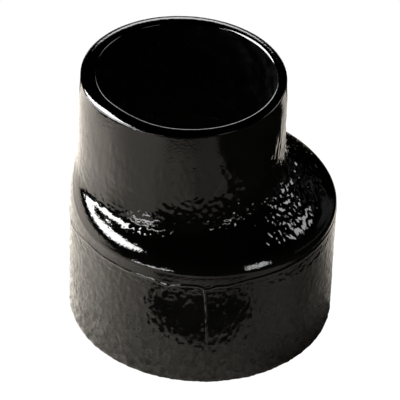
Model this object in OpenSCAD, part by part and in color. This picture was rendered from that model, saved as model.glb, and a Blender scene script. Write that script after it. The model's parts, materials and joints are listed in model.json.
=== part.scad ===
// Eccentric reducer for hubless (plain-end) cast-iron drain pipe, coated black inside and out.
// Millimetres, +Z up. The part stands on its large end: z = 0 is that end's face and the z axis
// is the large end's axis. The small end's axis is parallel to it and moved towards -X.
// The iron is one casting with no joint in it. The coating is a thin film in two parts: one over
// the outside and both end faces, and one over the wall of the waterway.

/* [Large end] */
// Outside diameter of the large plain end, over the coating
large_od = 111.25; // [100:0.05:125]
// Height of the straight barrel, from the large end's face to the start of the shoulder
barrel_height = 55.5; // [52:0.5:57]

/* [Small end] */
// Outside diameter of the small plain end, over the coating
small_od = 85.1; // [75:0.05:95]
// How far the small end's axis is moved sideways from the large end's axis
side_offset = 9.7; // [0:0.1:12]

/* [Length] */
// Overall length, from end face to end face
overall_length = 117; // [110:0.5:130]
// Height at which the taper ends and the straight small end begins
taper_end = 86.5; // [85:0.5:90]

/* [Shoulder] */
// Rise of the convex shoulder, halfway between the sides
shoulder_rise = 8; // [7:0.5:10]
// How much less the shoulder rises on the +X side, and how much more on the -X side
shoulder_shift = 6.5; // [0:0.5:6.5]
// Height at which the straight flank runs into the concave fillet, halfway between the sides
flank_top = 67; // [64:0.5:70]
// How much higher the flank reaches on the +X side
flank_shift = 8; // [0:0.5:8]
// Height of the fillet, over which the slope falls off
fillet_rise = 5; // [2:0.5:6]
// Slope left above the fillet, as a share of the flank's slope
tail_slope = 0.25; // [0:0.05:0.4]

/* [Wall] */
// Wall thickness of the iron and its coating together
wall = 5.6; // [4:0.1:7]
// Thickness of the coating
coat = 0.2; // [0.1:0.05:0.4]
// Radius on the inner and outer edge of both end faces
edge_round = 1.2; // [1:0.1:2]
// How much lower the taper lies inside than outside, which keeps the sloping wall as thick
inner_lead = 1.5; // [0.5:0.1:3]

/* [Parting ridge] */
// Height of the ridge that runs round the top of the barrel
ridge_z = 50; // [42:0.5:50]
// Width of the ridge along the barrel
ridge_width = 3; // [2:0.1:3.4]
// How far the ridge stands out of the barrel
ridge_height = 0.35; // [0.1:0.05:0.6]

/* [Smoothness] */
// Number of flats round the taper
taper_sides = 64; // [48:4:72]
// Number of steps up the taper
taper_steps = 16; // [10:1:16]

/* [Hidden] */
$fn = 96;

large_r = large_od / 2;
small_r = small_od / 2;
large_bore_r = large_r - wall;
small_bore_r = small_r - wall;
taper_start = barrel_height - inner_lead;
small_length = overall_length - taper_end;
// Angle between neighbouring points on an end face's rounded edges
arc_step = 15;
// The taper's flats stand back this far, so that each round end closes on them in a clean ring
flat_step = 0.03;
iron_colour = [0.42, 0.42, 0.44];
coat_colour = [0.05, 0.05, 0.055];
bore_colour = [0.12, 0.12, 0.13];

// Distance run inwards up to height z, in units of the flank's slope, where the shoulder ends at
// height a and the flank at height b. The slope grows over the shoulder, holds along the flank,
// falls off over the fillet and dies away in the tail.
function run_to(z, a, b) =
    let (rise = a - barrel_height, c = b + fillet_rise, over = min(z, taper_end) - c)
    z <= barrel_height ? 0 :
    z < a ? pow(z - barrel_height, 2) / (2 * rise) :
    z < b ? rise / 2 + z - a :
    z < c ? rise / 2 + z - a - (1 - tail_slope) * pow(z - b, 2) / (2 * fillet_rise) :
    rise / 2 + b - a + fillet_rise * (1 + tail_slope) / 2
        + tail_slope * (over - pow(over, 2) / (2 * (taper_end - c)));

// Share of the change from the large end to the small end that is done at height z. side goes
// from -1 on the -X side to 1 on the +X side. The shoulder and the flank change slowly past the
// front and then fast towards +X, so they follow the square of side there.
function share(z, side) =
    let (turn = side > 0 ? pow(side, 2) : side)
    let (a = barrel_height + shoulder_rise - shoulder_shift * turn)
    let (b = max(a, flank_top + flank_shift * turn))
    run_to(z, a, b) / run_to(taper_end, a, b);

// One ring of the taper at height z, for the share that is done at the height lead above it.
// Each point's distance from its circle's centre and that centre move together by the share.
function ring(z, low_r, high_r, lead) =
    [for (i = [0 : taper_sides - 1])
        let (a = 360 * i / taper_sides, s = share(z + lead, cos(a)))
        let (r = low_r + (high_r - low_r) * s - flat_step)
        [r * cos(a) - side_offset * s, r * sin(a), z]];

// All rings of one skin of the taper. lead is how much lower than the outside this skin lies.
function skin(low_r, high_r, lead) =
    [for (k = [0 : taper_steps])
        each ring(taper_start + (taper_end - taper_start) * k / taper_steps, low_r, high_r, lead)];

// Index of point i on ring k, and of its right-hand neighbour when i passes the last one
function at(k, i) = k * taper_sides + i % taper_sides;

// The wall of the taper between an outer and an inner skin, closed at both ends by flat rings
module taper_wall(outer, inner) {
    n = len(outer);
    faces = concat(
        [for (k = [0 : taper_steps - 1], i = [0 : taper_sides - 1])
            [at(k, i), at(k + 1, i), at(k + 1, i + 1), at(k, i + 1)]],
        [for (k = [0 : taper_steps - 1], i = [0 : taper_sides - 1])
            [n + at(k, i), n + at(k, i + 1), n + at(k + 1, i + 1), n + at(k + 1, i)]],
        [for (i = [0 : taper_sides - 1])
            [at(0, i), at(0, i + 1), n + at(0, i + 1), n + at(0, i)]],
        [for (i = [0 : taper_sides - 1])
            [at(taper_steps, i + 1), at(taper_steps, i),
             n + at(taper_steps, i), n + at(taper_steps, i + 1)]]);
    polyhedron(points = concat(outer, inner), faces = faces);
}

// Half-section of an end's outside, from its inner edge round to its outer edge, as [radius, z].
// inset is the depth below the coated surface.
function end_edges(r, bore_r, inset) = concat(
    [for (a = [180 : arc_step : 270])
        [bore_r + edge_round, edge_round] + (edge_round - inset) * [cos(a), sin(a)]],
    [for (a = [270 : arc_step : 360])
        [r - edge_round, edge_round] + (edge_round - inset) * [cos(a), sin(a)]]);

// The ridge's half-section on a wall of radius r
function ridge(r) = [
    [r, ridge_z - ridge_width / 2],
    [r + ridge_height * 0.75, ridge_z - ridge_width / 4],
    [r + ridge_height, ridge_z],
    [r + ridge_height * 0.75, ridge_z + ridge_width / 4],
    [r, ridge_z + ridge_width / 2]];

// Outer path of an end's half-section, up to its joint with the taper at height reach
function end_path(r, bore_r, inset, reach, has_ridge) = concat(
    end_edges(r, bore_r, inset),
    has_ridge ? ridge(r - inset) : [],
    [[r - inset, reach]]);

function reversed(points) = [for (i = [len(points) - 1 : -1 : 0]) points[i]];

// Iron of one plain end
module end_iron(r, bore_r, reach, has_ridge) {
    rotate_extrude()
        polygon(concat([[bore_r + coat, reach]], end_path(r, bore_r, coat, reach, has_ridge)));
}

// Coating of one plain end: its outside, its face and the face's rounded edges
module end_coat(r, bore_r, reach, has_ridge) {
    rotate_extrude()
        polygon(concat(
            end_path(r, bore_r, 0, reach, has_ridge),
            reversed(end_path(r, bore_r, coat, reach, has_ridge))));
}

// Coating of one plain end's bore, from the end of the rounded edge to the taper
module end_bore_coat(bore_r, reach) {
    rotate_extrude()
        translate([bore_r, edge_round]) square([coat, reach - edge_round]);
}

// Puts an end that is drawn like the large one at the top, upside down on the small end's axis
module at_small_end() {
    translate([-side_offset, 0, overall_length]) mirror([0, 0, 1]) children();
}

module iron_casting() {
    color(iron_colour) {
        end_iron(large_r, large_bore_r, taper_start, true);
        taper_wall(
            skin(large_r - coat, small_r - coat, 0),
            skin(large_bore_r + coat, small_bore_r + coat, inner_lead));
        at_small_end() end_iron(small_r, small_bore_r, small_length, false);
    }
}

module coating_outside() {
    color(coat_colour) {
        end_coat(large_r, large_bore_r, taper_start, true);
        taper_wall(
            skin(large_r, small_r, 0),
            skin(large_r - coat, small_r - coat, 0));
        at_small_end() end_coat(small_r, small_bore_r, small_length, false);
    }
}

module coating_bore() {
    color(bore_colour) {
        end_bore_coat(large_bore_r, taper_start);
        taper_wall(
            skin(large_bore_r + coat, small_bore_r + coat, inner_lead),
            skin(large_bore_r, small_bore_r, inner_lead));
        at_small_end() end_bore_coat(small_bore_r, small_length);
    }
}

iron_casting();
coating_outside();
coating_bore();
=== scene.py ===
"""Looks of the eccentric drain pipe reducer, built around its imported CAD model.

The coating is two closed films of displaced mesh: one over the outside and both end faces, one
over the waterway. The iron casting is a third closed mesh, which fills the space between the
films' backs. Metres, +Z up, with the front of the object towards -Y.
"""

import json
import math

import bpy
import numpy as np
from mathutils import Matrix, Vector, noise


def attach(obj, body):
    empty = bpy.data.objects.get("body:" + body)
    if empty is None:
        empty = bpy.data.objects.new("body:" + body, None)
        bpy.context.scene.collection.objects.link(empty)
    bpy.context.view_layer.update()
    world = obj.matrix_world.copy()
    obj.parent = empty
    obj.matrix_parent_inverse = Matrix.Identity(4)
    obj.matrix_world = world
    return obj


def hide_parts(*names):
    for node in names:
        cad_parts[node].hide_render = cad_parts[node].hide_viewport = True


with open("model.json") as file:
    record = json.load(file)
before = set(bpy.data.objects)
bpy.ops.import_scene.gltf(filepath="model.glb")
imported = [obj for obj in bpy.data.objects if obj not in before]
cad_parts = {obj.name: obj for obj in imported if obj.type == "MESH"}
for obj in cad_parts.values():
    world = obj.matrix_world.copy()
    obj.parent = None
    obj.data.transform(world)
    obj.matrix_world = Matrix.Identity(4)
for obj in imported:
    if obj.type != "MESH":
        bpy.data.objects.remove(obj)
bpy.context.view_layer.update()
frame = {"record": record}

MM = 0.001
MOUNTS = {mount["name"]: mount for mount in frame["record"]["mounts"]}


def radius(name):
    """Radius of a mount, in metres."""
    return MOUNTS[name]["dims"]["r_mm"] * MM


def reach(name, side):
    """Height of a mount's upper (side 1) or lower (side -1) end, in metres."""
    return MOUNTS[name]["pos_m"][2] + side * MOUNTS[name]["dims"]["length_mm"] * MM / 2


# Sizes of the two plain ends, from the mounts
LARGE_R = radius("large_end")
SMALL_R = radius("small_end")
LARGE_BORE_R = radius("large_bore")
SMALL_BORE_R = radius("small_bore")
OFFSET = MOUNTS["small_end"]["pos_m"][0]
HEIGHT = MOUNTS["small_face"]["pos_m"][2]

# Height of the large end's rounded edges, and the height up to which the bore's film runs
EDGE = reach("large_end", -1)
BORE_TOP = HEIGHT - EDGE

# The taper, as in the CAD model: heights from the mounts, then the shoulder's own shape
LEAD = 1.5 * MM
INNER_START = reach("large_bore", 1)
TAPER_START = INNER_START + LEAD
TAPER_END = reach("small_end", -1)
SHOULDER_RISE = 8 * MM
SHOULDER_SHIFT = 6.5 * MM
FLANK_TOP = 67 * MM
FLANK_SHIFT = 8 * MM
FILLET_RISE = 5 * MM
TAIL_SLOPE = 0.25

# How far the bore's film and the outside film's back lie behind the plain wall. Both are measured
# level, so square to a slope they are less, and a few hollows of the relief reach past them
COAT = 0.2 * MM
BACK = 0.6 * MM

# How far the rounding of the large end's edges runs across its face
CROWN = 2.2 * MM

# The small end's rim: where its outer rounding starts, and how far that runs up and across
RIM_Z = HEIGHT - 1.3 * MM
RIM_RISE = 1.6 * MM
RIM_CROWN = 2.6 * MM

# How far the rounding of the rim's inner edge runs across and down
RIM_INNER = 1.2 * MM
INNER_RISE = 1.0 * MM

# Away from the rounded front left the rim's face has a tight outer corner, which drops by CORNER,
# then a flat as far in as BEAD_IN, then a slope up to a low bead of paint
CORNER = 0.4 * MM
BEAD_IN = 1.2 * MM
FACE_SLOPE = 0.17

# The cut rim isn't square: how much higher it lies at the front left and towards -X
FRONT_LIFT = 0.9 * MM
SIDE_LIFT = 0.45 * MM

# How much the wall draws in up to the rim, and the height at which it starts to
DRAW_IN = 0.45 * MM
DRAW_START = HEIGHT - 12 * MM

# The waterway's axis at the small end, where the wall is thicker on the narrow side
BORE_X = OFFSET + 1 * MM


# ---------------------------------------------------------------- curves


def bell(x, centre, width):
    """1 at centre, dying away over about `width` on each side."""
    return np.exp(-(((x - centre) / width) ** 2))


def step(x, low, high):
    """0 below low, 1 above high, smooth between."""
    t = np.clip((x - low) / (high - low), 0, 1)
    return t * t * (3 - 2 * t)


def plateau(x, start, full, fall, end):
    """1 from full to fall, running smoothly down to 0 at start and at end."""
    return step(x, start, full) * (1 - step(x, fall, end))


def azimuth_of(x, y):
    """Azimuth in degrees: 0 at the front (-Y), positive towards +X."""
    return np.degrees(np.arctan2(x, -y))


# ---------------------------------------------------------------- shape of the casting


def run_to(z, shoulder_top, flank_top):
    """Distance run inwards up to height z. The slope grows over the shoulder, holds along the
    flank, falls off over the fillet and dies away in the tail."""
    rise = shoulder_top - TAPER_START
    fillet_top = flank_top + FILLET_RISE
    up = np.clip(z - TAPER_START, 0, rise)
    flank = np.clip(z, shoulder_top, flank_top) - shoulder_top
    bend = np.clip(z, flank_top, fillet_top) - flank_top
    over = np.clip(z, fillet_top, TAPER_END) - fillet_top
    return (
        up**2 / (2 * rise)
        + flank
        + bend - (1 - TAIL_SLOPE) * bend**2 / (2 * FILLET_RISE)
        + TAIL_SLOPE * (over - over**2 / (2 * (TAPER_END - fillet_top)))
    )


def share(z, side):
    """Share of the change from the large end to the small end that is done at height z. side goes
    from -1 on the -X side to 1 on the +X side."""
    shift = np.where(side > 0, side**2, side)
    shoulder_top = TAPER_START + SHOULDER_RISE - SHOULDER_SHIFT * shift
    flank_top = np.maximum(shoulder_top, FLANK_TOP + FLANK_SHIFT * shift)
    return run_to(z, shoulder_top, flank_top) / run_to(TAPER_END, shoulder_top, flank_top)


def arc(inset, centre_r, start, end, steps):
    """Points (radius, z) round an edge of the large end, from angle start to end in degrees."""
    angles = np.radians(np.linspace(start, end, steps + 1))
    across = (CROWN - inset) * np.cos(angles)
    along = (EDGE - inset) * np.sin(angles)
    return np.stack([centre_r + across, EDGE + along], 1)


def heights(marks):
    """Heights that run through marks, a list of (height, spacing as far as the next mark)."""
    out = [marks[0][0]]
    for (low, spacing), (high, _) in zip(marks, marks[1:]):
        count = max(1, round(abs(high - low) / spacing))
        out.extend(np.linspace(low, high, count + 1)[1:])
    return np.array(out)


def ring(r, z, angles, centre_x):
    """One ring of points. r, z and centre_x are one value each, or one for every angle."""
    x = centre_x + r * np.cos(angles)
    return np.stack([x, r * np.sin(angles), np.broadcast_to(z, angles.shape)], 1)


def wall_ring(z, angles, low_r, high_r, lead, offset):
    """One ring of the wall at height z, round the barrel, the taper or the small end. lead is how
    much lower than the outside this wall tapers, and offset is where the small end's axis lies."""
    s = share(z + lead, np.cos(angles))
    return ring(low_r + (high_r - low_r) * s, z, angles, offset * s)


def rim_lift(azimuth):
    """How much higher than its plane the cut rim lies."""
    front_left = bell(azimuth, centre=-42, width=18)
    return FRONT_LIFT * front_left - SIDE_LIFT * np.sin(np.radians(azimuth))


def draw_in(angles):
    """How much the wall has drawn in at the rim: hardly at all at the front."""
    return DRAW_IN * (1 - 0.9 * step(-np.sin(angles), 0.2, 0.6))


def rim_rings(angles, inset, steps):
    """Rings over the small end's rim, from its outer edge to its inner edge."""
    azimuth = azimuth_of(np.cos(angles), np.sin(angles))
    rounded = bell(azimuth, centre=-55, width=38)
    edge_r = SMALL_R - draw_in(angles) - inset
    crown_z = RIM_Z + RIM_RISE + rim_lift(azimuth) - inset
    rings = []
    for u in np.linspace(0, 1, steps + 1):
        round_in = RIM_CROWN * (1 - math.cos(u * math.pi / 2))
        round_down = RIM_RISE * (1 - math.sin(u * math.pi / 2))
        flat_in = RIM_CROWN * u**2
        flat_down = FACE_SLOPE * (RIM_CROWN - max(flat_in, BEAD_IN)) + CORNER * (1 - u) ** 6
        run_in = flat_in + (round_in - flat_in) * rounded
        down = flat_down + (round_down - flat_down) * rounded
        rings.append(ring(edge_r - run_in, crown_z - down, angles, OFFSET))

    # The inner rounding is tighter on the narrow side
    size = 1 - 0.85 * bell(azimuth, centre=-95, width=40)
    for t in np.radians(np.linspace(90, 180, steps)):
        r = SMALL_BORE_R + inset + size * RIM_INNER * (1 + math.cos(t))
        down = size * INNER_RISE * (1 - math.sin(t))
        rings.append(ring(r, crown_z - down, angles, BORE_X))
    rings.append(ring(SMALL_BORE_R + inset, BORE_TOP, angles, BORE_X))
    return np.array(rings)


def outside_rings(angles, inset, wall_z, low_steps, high_steps):
    """Rings from the large bore's edge, round the outside, to the small bore's edge. inset is how
    deep they lie below the coated surface."""
    rings = []
    for r, z in arc(inset, LARGE_BORE_R + CROWN, 180, 270, low_steps):
        rings.append(ring(r, z, angles, 0))
    for r, z in arc(inset, LARGE_R - CROWN, 270, 360, low_steps):
        rings.append(ring(r, z, angles, 0))
    for z in wall_z:
        lean = draw_in(angles) * step(z, DRAW_START, RIM_Z)
        rings.append(wall_ring(z, angles, LARGE_R - inset, SMALL_R - lean - inset, 0, OFFSET))
    return np.concatenate([rings, rim_rings(angles, inset, high_steps)])


def bore_rings(angles, inset, wall_z):
    """Rings down the waterway, inset below the coated wall, from the small end to the large end."""
    low_r = LARGE_BORE_R + inset
    high_r = SMALL_BORE_R + inset
    return np.array([wall_ring(z, angles, low_r, high_r, LEAD, BORE_X) for z in wall_z])


def grid_normals(points):
    """Unit normals of a grid of rings, which point away from the metal."""
    around = np.roll(points, -1, 1) - np.roll(points, 1, 1)
    along = np.gradient(points, axis=0)
    normal = np.cross(around, along)
    return normal / np.linalg.norm(normal, axis=2, keepdims=True)


def add_mesh(name, points, faces):
    """A mesh object in the scene."""
    mesh = bpy.data.meshes.new(name)
    mesh.from_pydata(points, [], faces)
    piece = bpy.data.objects.new(name, mesh)
    bpy.context.scene.collection.objects.link(piece)
    return piece


def shell(name, skin, back):
    """A closed shell between two grids of rings that run the same way along the object."""
    rings = np.concatenate([skin, back[::-1]])
    rows, columns = rings.shape[:2]
    index = np.arange(rows * columns).reshape(rows, columns)
    below = np.roll(index, -1, 0)
    quads = np.stack([index, np.roll(index, -1, 1), np.roll(below, -1, 1), below], 2)
    piece = add_mesh(name, rings.reshape(-1, 3).tolist(), quads.reshape(-1, 4).tolist())
    piece.data.polygons.foreach_set("use_smooth", [True] * len(piece.data.polygons))
    piece.data.set_sharp_from_angle(angle=math.radians(50))
    return piece


# ---------------------------------------------------------------- relief of the coating
#
# The parts of the outside's relief are worked out in millimetres. Each takes the points, and
# mostly their azimuth, and gives how far the coating stands out there.

# Depth of each part
PEEL = 0.1
MORE_PEEL_ON_BARREL = 0.09
SWELL = 0.1
FOOT_LUMPS = 0.42
KNEE_BEAD = 0.17
SHOULDER_BULGE = 0.5
SHOULDER_LEDGE = 0.22
FLANK_BUMPS = 0.5
FILLET_SAG = 0.36
RIDGE = 0.22
MORE_RIDGE_AT_FRONT = 0.14
SEAM = 0.32
MORE_SEAM_AT_TOP = 0.25

# Mid height of the parting ridge and of the bead at the knee
RIDGE_Z = 51.6
KNEE_Z = 57.1

# Factors that make noise run only round the object, or only up it
AROUND = (1, 1, 0)
UPWARDS = (0, 0, 1)


def perlin(points, size, seed):
    """Smooth noise from -1 to 1, with bumps about `size` across in the points' own unit."""
    shift = Vector((seed * 7.3, seed * 3.1, seed * 5.7))
    flat = (points / size).reshape(-1, 3).tolist()
    values = [noise.noise(Vector(p) + shift) for p in flat]
    return np.array(values).reshape(points.shape[:2])


def paint_texture(points, azimuth):
    """Orange peel, strongest on the barrel, and long swells in the thick paint. Both are faint on
    the band above the ridge, which is wider on the left, and near the rim."""
    z = points[..., 2]
    left = 1 - step(azimuth, 0, 25)
    band = plateau(z, 52, 53.5, 62 + 7 * left, 68 + 4 * left)
    rim = step(z, 97, 112)
    barrel = 1 - step(z, 48, 52)
    squashed = points * (1, 1, 1.5)
    peel = perlin(squashed, size=2.5, seed=3) + 0.7 * perlin(squashed, size=1.4, seed=4)
    peel *= (PEEL + MORE_PEEL_ON_BARREL * barrel) * (1 - 0.95 * band) * (1 - 0.93 * rim)
    swell = perlin(points, size=11, seed=5) * (1 - 0.8 * band) * (1 - 0.6 * rim)
    return peel + SWELL * swell


def foot_lumps(points, azimuth):
    """Lumps that lie across the foot of the small end."""
    foot = plateau(points[..., 2], 71, 75, 88, 112) * step(azimuth, -32, 5)
    return FOOT_LUMPS * foot * perlin(points * (1, 1, 2), size=2.4, seed=9)


def knee_bead(points, azimuth):
    """The paint's bead where the barrel turns into the shoulder, higher up round to the left."""
    bead_z = KNEE_Z + 3.4 * np.square(np.clip(-azimuth - 48, 0, 40) / 22)
    return KNEE_BEAD * bell(points[..., 2], bead_z, 1.25) * (1 - step(azimuth, 20, 50))


def front_shoulder(points, azimuth):
    """Fuller shoulder at the front of the wide side, up to a jagged edge where the flank begins."""
    z = points[..., 2]
    ledge_z = 64.1 + 0.35 * perlin(points * AROUND, size=3, seed=10)
    relief = SHOULDER_BULGE * bell(z, 61, 1.9) + SHOULDER_LEDGE * bell(z, ledge_z, 0.55)
    return relief * plateau(azimuth, 5, 25, 62, 85)


def rough_flank(points, azimuth):
    """Coarse bumps of the rough casting on the wide side of the taper."""
    wide = step(np.cos(np.radians(azimuth - 78)), 0.2, 0.8)
    flank = plateau(points[..., 2], 60.5, 63, 80, 86)
    return FLANK_BUMPS * wide * flank * perlin(points * (1, 1, 1.7), size=1.7, seed=6)


def sagged_fillet(points, azimuth):
    """Sagged paint along the fillet at the foot of the small end, except on the narrow side."""
    side = np.sin(np.radians(azimuth))
    shift = np.where(side > 0, side**2, side / 2)
    fillet_z = (FLANK_TOP + FLANK_SHIFT * shift) / MM + 3.5
    fillet = bell(points[..., 2], fillet_z, 1.9) * step(azimuth, -44, -34)
    return FILLET_SAG * fillet * perlin(points, size=2, seed=7)


def parting_ridge(points, azimuth):
    """Uneven ridge round the top of the barrel, with a dip at the seam and one left of it."""
    ridge_z = RIDGE_Z + 0.3 * perlin(points * AROUND, size=5, seed=2)
    ridge_z -= 1.8 * bell(azimuth, 3, 2.5) + 1.2 * bell(azimuth, -14, 5)
    ridge_z += 1.4 * step(azimuth, 8, 25) - 4.5 * step(-azimuth, 56, 80)
    height = RIDGE + MORE_RIDGE_AT_FRONT * bell(azimuth, 0, 34)
    return height * bell(points[..., 2], ridge_z, 0.48)


def mould_seam(points):
    """Vertical seam at the front of the barrel."""
    x, y, z = points[..., 0], points[..., 1], points[..., 2]
    seam_x = 1.6 + 1.5 * (1 - step(z, 36, 46)) + 0.8 * perlin(points * UPWARDS, size=6, seed=8)
    seam = bell(x, seam_x, 0.3) * step(-y, 0, 20) * plateau(z, 18, 26, 50, 51)
    return (SEAM + MORE_SEAM_AT_TOP * step(z, 30, 45)) * seam


def flush_ends(points):
    """1 over the outside film, falling to 0 at its two ends, which stay flush with the bore's
    film. Points in metres."""
    x, y, z = points[..., 0], points[..., 1], points[..., 2]
    in_large_end = (np.hypot(x, y) < LARGE_BORE_R + CROWN) & (z < EDGE)
    in_small_end = (np.hypot(x - BORE_X, y) < SMALL_BORE_R + RIM_INNER / 2) & (z >= BORE_TOP)
    end_z = np.where(z > BORE_TOP, BORE_TOP, EDGE)
    return np.where(in_large_end | in_small_end, np.minimum(np.abs(z - end_z) / EDGE, 1), 1)


def outside_relief(points):
    """How far the coated outside stands out of the plain shape, in metres."""
    mm = points / MM
    azimuth = azimuth_of(mm[..., 0], mm[..., 1])
    relief = (
        paint_texture(mm, azimuth)
        + foot_lumps(mm, azimuth)
        + knee_bead(mm, azimuth)
        + front_shoulder(mm, azimuth)
        + rough_flank(mm, azimuth)
        + sagged_fillet(mm, azimuth)
        + parting_ridge(mm, azimuth)
        + mould_seam(mm)
    )
    return relief * MM * flush_ends(points)


# ---------------------------------------------------------------- pieces

# Columns round the outside, and how much closer together they stand at the front
SIDES = 540
CROWDING = 0.6
TURN = np.linspace(-math.pi, math.pi, SIDES, endpoint=False)
OUTSIDE_ANGLES = TURN - CROWDING * np.sin(TURN) - math.pi / 2

# Columns round the bore's film
BORE_SIDES = 360
BORE_ANGLES = np.linspace(0, 2 * math.pi, BORE_SIDES, endpoint=False)

# Heights of the rings up the outside, closest from the ridge to the fillet
OUTSIDE_Z = heights([
    (EDGE, 1.25 * MM),
    (47 * MM, 0.34 * MM),
    (54.5 * MM, 0.62 * MM),
    (64 * MM, 0.58 * MM),
    (76 * MM, 0.85 * MM),
    (TAPER_END, 1.8 * MM),
    (HEIGHT - 5 * MM, 1 * MM),
    (BORE_TOP, 1 * MM),
])

# Heights of the rings up the outside film's back
OUTSIDE_BACK_Z = heights([
    (EDGE, 30 * MM),
    (TAPER_START, 2.6 * MM),
    (TAPER_END, 20 * MM),
    (HEIGHT - 5 * MM, 2 * MM),
    (BORE_TOP, 1 * MM),
])

# Heights of the rings down the bore's film and down its back
BORE_Z = heights([
    (BORE_TOP, 1.2 * MM),
    (TAPER_END, 1 * MM),
    (INNER_START, 1.4 * MM),
    (EDGE, 1 * MM),
])
BORE_BACK_Z = heights([
    (BORE_TOP, 40 * MM),
    (TAPER_END, 2.6 * MM),
    (INNER_START, 60 * MM),
    (EDGE, 1 * MM),
])

# Length over which the bore's relief fades out at each end
BORE_FADE = 3 * MM


def outside_back():
    """Rings of the outside film's back, which is the iron's outside too."""
    return outside_rings(OUTSIDE_ANGLES, BACK, OUTSIDE_BACK_Z[1:], low_steps=2, high_steps=3)


def build_outside():
    """The coating over the outside and both end faces."""
    skin = outside_rings(OUTSIDE_ANGLES, 0, OUTSIDE_Z[1:], low_steps=4, high_steps=8)
    skin += grid_normals(skin) * outside_relief(skin)[..., None]
    return shell("outside_film", skin, outside_back())


def build_bore():
    """The coating over the wall of the waterway."""
    skin = bore_rings(BORE_ANGLES, 0, BORE_Z)
    peel = 0.02 * MM * perlin(skin, size=3.4 * MM, seed=11)
    swell = 0.05 * MM * perlin(skin, size=12 * MM, seed=12)
    to_end = np.minimum(skin[..., 2] - EDGE, BORE_TOP - skin[..., 2])
    relief = (peel + swell) * np.clip(to_end / BORE_FADE, 0, 1)
    skin += grid_normals(skin) * relief[..., None]
    return shell("bore_film", skin, bore_rings(BORE_ANGLES, COAT, BORE_BACK_Z))


def build_iron():
    """The casting, between the backs of both films."""
    bore_side = bore_rings(OUTSIDE_ANGLES, COAT, BORE_BACK_Z)[::-1]
    return shell("iron", outside_back(), bore_side[1:-1])


# ---------------------------------------------------------------- materials

# Depth of the orange peel that is too fine for the mesh, and of the iron's grain
PEEL_DEPTH = 0.05 * MM
GRAIN_DEPTH = 0.15 * MM


def new_material(name):
    """A node material, with its nodes, its links and its Principled shader."""
    material = bpy.data.materials.new(name)
    material.use_nodes = True
    nodes = material.node_tree.nodes
    shader = next(node for node in nodes if node.type == "BSDF_PRINCIPLED")
    return material, nodes, material.node_tree.links, shader


def noise_value(nodes, links, size, detail):
    """Noise over the object's own coordinates, with features about `size` metres across."""
    place = nodes.new("ShaderNodeTexCoord")
    texture = nodes.new("ShaderNodeTexNoise")
    texture.inputs["Scale"].default_value = 1 / size
    texture.inputs["Detail"].default_value = detail
    links.new(place.outputs["Object"], texture.inputs["Vector"])
    return texture.outputs["Fac"]


def spread(nodes, links, source, low, high):
    """Maps a noise value, which mostly lies from 0.3 to 0.7, to low..high."""
    ramp = nodes.new("ShaderNodeMapRange")
    ramp.inputs["From Min"].default_value = 0.3
    ramp.inputs["From Max"].default_value = 0.7
    ramp.inputs["To Min"].default_value = low
    ramp.inputs["To Max"].default_value = high
    links.new(source, ramp.inputs["Value"])
    return ramp.outputs["Result"]


def colours(nodes, links, source, *stops):
    """Maps a noise value to a colour between two stops, each a position and a colour."""
    ramp = nodes.new("ShaderNodeValToRGB")
    for element, (position, colour) in zip(ramp.color_ramp.elements, stops):
        element.position = position
        element.color = (*colour, 1)
    links.new(source, ramp.inputs["Fac"])
    return ramp.outputs["Color"]


def bumps(nodes, links, source, depth):
    """Normals of a surface that a noise value raises by up to depth."""
    bump = nodes.new("ShaderNodeBump")
    bump.inputs["Distance"].default_value = depth
    links.new(source, bump.inputs["Height"])
    return bump.outputs["Normal"]


def coating_material(name, dark, light, smooth, dull):
    """Gloss black paint: patchy colour and roughness, and orange peel too fine for the mesh."""
    material, nodes, links, shader = new_material(name)
    tint = noise_value(nodes, links, 9 * MM, 4)
    patches = noise_value(nodes, links, 6 * MM, 3)
    peel = noise_value(nodes, links, 1.1 * MM, 2)
    colour = colours(nodes, links, tint, (0.35, dark), (0.7, light))
    links.new(colour, shader.inputs["Base Color"])
    links.new(spread(nodes, links, patches, smooth, dull), shader.inputs["Roughness"])
    links.new(bumps(nodes, links, peel, PEEL_DEPTH), shader.inputs["Normal"])
    shader.inputs["IOR"].default_value = 1.5
    return material


def iron_material():
    """As-cast grey iron, dark and granular."""
    material, nodes, links, shader = new_material("as_cast_iron")
    grain = noise_value(nodes, links, 1.5 * MM, 6)
    colour = colours(nodes, links, grain, (0, (0.09, 0.09, 0.095)), (1, (0.26, 0.26, 0.27)))
    links.new(colour, shader.inputs["Base Color"])
    links.new(spread(nodes, links, grain, 0.45, 0.7), shader.inputs["Roughness"])
    links.new(bumps(nodes, links, grain, GRAIN_DEPTH), shader.inputs["Normal"])
    shader.inputs["Metallic"].default_value = 0.8
    return material


# ---------------------------------------------------------------- stage

# Half the width of the stage, which is also the height of its walls, in metres, and the
# brightness of its floor and walls
STAGE = 8
WHITE = 1.05

# The two ends of each wall, as shares of the stage's half width
WALLS = {
    "left": ((-1, -1), (-1, 1)),
    "right": ((1, -1), (1, 1)),
    "back": ((-1, 1), (1, 1)),
    "front": ((-1, -1), (1, -1)),
}

# The floor that the gloss reflects: its tint, its height, and its brightness grid's ends and step
# in millimetres
WARM = (1.05, 0.965, 0.86)
FLOOR_LIFT = 0.02 * MM
FLOOR_X = (-216, 135)
FLOOR_Y = (-290, 160)
FLOOR_STEP = 3.0

# The upright panel along the left: its place, and at each y its lower and upper z, in millimetres
LEFT_PANEL_X = -212
LEFT_PANEL = (
    (90, 30, 52),
    (-35, 30, 56),
    (-80, 36, 80),
    (-130, 52, 108),
    (-200, 98, 150),
    (-265, 185, 205),
)


def glow(name, strength, colour=(1, 1, 1)):
    """An emission material of one even brightness."""
    material = bpy.data.materials.new(name)
    material.use_nodes = True
    nodes = material.node_tree.nodes
    nodes.clear()
    emission = nodes.new("ShaderNodeEmission")
    emission.inputs["Color"].default_value = (*colour, 1)
    emission.inputs["Strength"].default_value = strength
    output = nodes.new("ShaderNodeOutputMaterial")
    material.node_tree.links.new(emission.outputs[0], output.inputs["Surface"])
    return material


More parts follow.
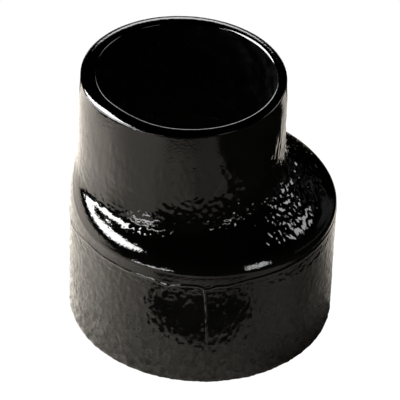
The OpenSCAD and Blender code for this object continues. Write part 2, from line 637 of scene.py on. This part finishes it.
def stage_piece(name, points, faces, material, camera=False, glossy=False, diffuse=False):
    """A piece of the stage, and what sees it."""
    piece = add_mesh(name, points, faces)
    piece.data.materials.append(material)
    piece.visible_camera = camera
    piece.visible_glossy = glossy
    piece.visible_diffuse = diffuse
    piece.visible_transmission = camera
    piece.visible_volume_scatter = False
    piece.visible_shadow = False
    return piece


def quad(name, corners, strength, **seen_by):
    """A flat four-cornered stage piece that glows evenly."""
    stage_piece(name, corners, [(0, 1, 2, 3)], glow(name, strength), **seen_by)


def strip(name, posts, strength):
    """An upright glowing strip along posts, each x, y, lower z and upper z in millimetres."""
    count = len(posts)
    low = [(x * MM, y * MM, z * MM) for x, y, z, _ in posts]
    high = [(x * MM, y * MM, z * MM) for x, y, _, z in posts]
    faces = [(i, i + 1, count + i + 1, count + i) for i in range(count - 1)]
    stage_piece(name, low + high, faces, glow(name, strength), glossy=True)


def panel(name, azimuth, elevation, distance, width, height, strength):
    """A soft light panel that faces the object. Azimuth 0 is the front, positive towards +X."""
    a = math.radians(azimuth)
    e = math.radians(elevation)
    out = Vector((math.sin(a) * math.cos(e), -math.cos(a) * math.cos(e), math.sin(e)))
    across = Vector((math.cos(a), math.sin(a), 0))
    centre = Vector((0, 0, HEIGHT / 2)) + out * distance
    half_w = across * width / 2
    half_h = out.cross(across) * height / 2
    signs = ((-1, -1), (1, -1), (1, 1), (-1, 1))
    quad(name, [centre + w * half_w + h * half_h for w, h in signs], strength, glossy=True)


def floor_light(x, y):
    """Brightness of the floor in the gloss, at x and y in millimetres, with light and shade painted
    in: white paper lit brighter to the left, painted shade to the right, a dark slot in front, and
    nothing under the object or beyond the paper."""
    out = np.hypot(x, y)
    left = np.interp(
        x,
        [-205, -90, -60, -40, -20, 0, 20],
        [1.65, 1.5, 1.2, 0.95, 0.7, 0.46, 0.38],
    )
    towards_front = np.interp(y, [-110, -60, -35, 0], [0.52, 0.8, 1.1, 1.1])
    left = left * (1 + (towards_front - 1) * step(-x, 0, 50))
    right = np.interp(
        y,
        [-75, -55, -30, -10, 10, 25, 40, 100],
        [0.28, 0.24, 0.13, 0.15, 0.25, 0.5, 0.85, 0.8],
    )
    # Painted shadow of the object on the floor, close to its right side towards the front
    right = right * np.where(y < 0, step(out, 50, 78), 1)
    light = left + (right - left) * step(x, 12, 45)

    slot = plateau(x, -59, -54, 54, 59) * (1 - step(y, -84, -79)) * (1 - step(out, 115, 119))

    # The paper's right edge runs outwards at the back, and its front edge forwards at the left
    outwards = 0.25 * np.maximum(y - 60, 0)
    forwards = 0.5 * np.minimum(x + 60, 0)
    paper = plateau(x, -207, -200, 102 + outwards, 109 + outwards)
    paper = paper * plateau(y, forwards - 203, forwards - 195, 140, 155)
    return light * (1 - 0.985 * slot) * paper * step(out, 50, 55)


def lit_floor_material():
    """Glow that follows the floor's brightness grid, with a fine mottle."""
    material = glow("lit_floor", 1, WARM)
    nodes = material.node_tree.nodes
    links = material.node_tree.links
    emission = next(node for node in nodes if node.type == "EMISSION")
    brightness = nodes.new("ShaderNodeAttribute")
    brightness.attribute_name = "light"
    grain = noise_value(nodes, links, 3.5 * MM, 2)
    mottled = nodes.new("ShaderNodeMath")
    mottled.operation = "MULTIPLY"
    links.new(spread(nodes, links, grain, 0.45, 1.5), mottled.inputs[0])
    links.new(brightness.outputs["Fac"], mottled.inputs[1])
    links.new(mottled.outputs["Value"], emission.inputs["Strength"])
    return material


def build_lit_floor():
    """The floor that the gloss reflects. The camera doesn't see it."""
    x, y = np.meshgrid(np.arange(*FLOOR_X, FLOOR_STEP), np.arange(*FLOOR_Y, FLOOR_STEP))
    points = np.stack([x * MM, y * MM, np.full_like(x, FLOOR_LIFT)], 2).reshape(-1, 3).tolist()
    index = np.arange(x.size).reshape(x.shape)
    quads = np.stack([index[:-1, :-1], index[:-1, 1:], index[1:, 1:], index[1:, :-1]], 2)
    faces = quads.reshape(-1, 4).tolist()
    piece = stage_piece("lit_floor", points, faces, lit_floor_material(), glossy=True)
    light = piece.data.attributes.new("light", "FLOAT", "POINT")
    light.data.foreach_set("value", floor_light(x, y).astype(np.float32).ravel())


def build_stage():
    """Pale floor and backdrop for the camera, and what the gloss reflects."""
    corners = [(-STAGE, -STAGE, 0), (STAGE, -STAGE, 0), (STAGE, STAGE, 0), (-STAGE, STAGE, 0)]
    quad("floor", corners, WHITE, camera=True, diffuse=True)
    for name, ends in WALLS.items():
        low = [(x * STAGE, y * STAGE, 0) for x, y in ends]
        high = [(x, y, STAGE) for x, y, _ in reversed(low)]
        quad(name + "_wall", low + high, WHITE, camera=True)
    panel("right_horizon", 110, 5, distance=1.4, width=1.6, height=0.16, strength=0.12)
    panel("left_horizon", -160, 5, distance=1.4, width=1.2, height=0.16, strength=0.6)

    build_lit_floor()
    strip("left_panel", [(LEFT_PANEL_X, *post) for post in LEFT_PANEL], 24)
    strip("front_left_edge", [
        (-192, -166, 2, 14),
        (-145, -210, 22, 38),
        (-118, -226, 34, 54),
        (-87, -239, 60, 80),
    ], 11)
    panel("key_light", -98, 36, distance=1.2, width=1.2, height=1.1, strength=26)
    panel("right_front_light", 45, 8, distance=1.0, width=0.34, height=0.08, strength=8)
    panel("right_back_light", 122, 36, distance=1.0, width=0.6, height=0.26, strength=6)
    panel("back_light", 180, 18, distance=1.0, width=0.75, height=0.3, strength=5)


def build_world():
    """A black world, as all the light comes from the stage's pieces."""
    world = bpy.data.worlds.new("studio")
    world.use_nodes = True
    world.node_tree.nodes["Background"].inputs["Color"].default_value = (0, 0, 0, 1)
    bpy.context.scene.world = world
    bpy.context.scene.view_settings.view_transform = "Standard"


# ---------------------------------------------------------------- camera


def build_camera():
    """The camera of the reference view, which looks down at the front and is turned a little."""
    elevation = math.radians(37.65)
    roll = math.radians(2.02)
    distance = 1.4526
    aim_down = 41.94 * MM
    aim_right = -0.11 * MM
    right = Vector((1, 0, 0))
    up = Vector((0, math.sin(elevation), math.cos(elevation)))
    back = Vector((0, -math.cos(elevation), math.sin(elevation)))
    x_axis = right * math.cos(roll) + up * math.sin(roll)
    y_axis = up * math.cos(roll) - right * math.sin(roll)
    place = y_axis * aim_down - x_axis * aim_right + back * distance
    turned = Matrix((x_axis, y_axis, back)).transposed().to_4x4()
    data = bpy.data.cameras.new("camera")
    data.sensor_width = 36
    data.lens = 306
    data.clip_start = 0.05
    data.clip_end = 50
    camera = bpy.data.objects.new("camera", data)
    camera.matrix_world = Matrix.Translation(place) @ turned
    bpy.context.scene.collection.objects.link(camera)
    bpy.context.scene.camera = camera


# ---------------------------------------------------------------- assembly

build_camera()

outside = build_outside()
outside.data.materials.append(coating_material(
    "outside_paint",
    dark=(0.003, 0.0031, 0.0024),
    light=(0.0055, 0.0054, 0.0045),
    smooth=0.03,
    dull=0.07,
))
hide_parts("coating_outside")
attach(outside, "root")

bore = build_bore()
bore.data.materials.append(coating_material(
    "bore_paint",
    dark=(0.0015, 0.0015, 0.0012),
    light=(0.003, 0.003, 0.0025),
    smooth=0.15,
    dull=0.3,
))
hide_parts("coating_bore")
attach(bore, "root")

iron = build_iron()
iron.data.materials.append(iron_material())
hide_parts("iron_casting")
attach(iron, "root")

build_stage()
build_world()
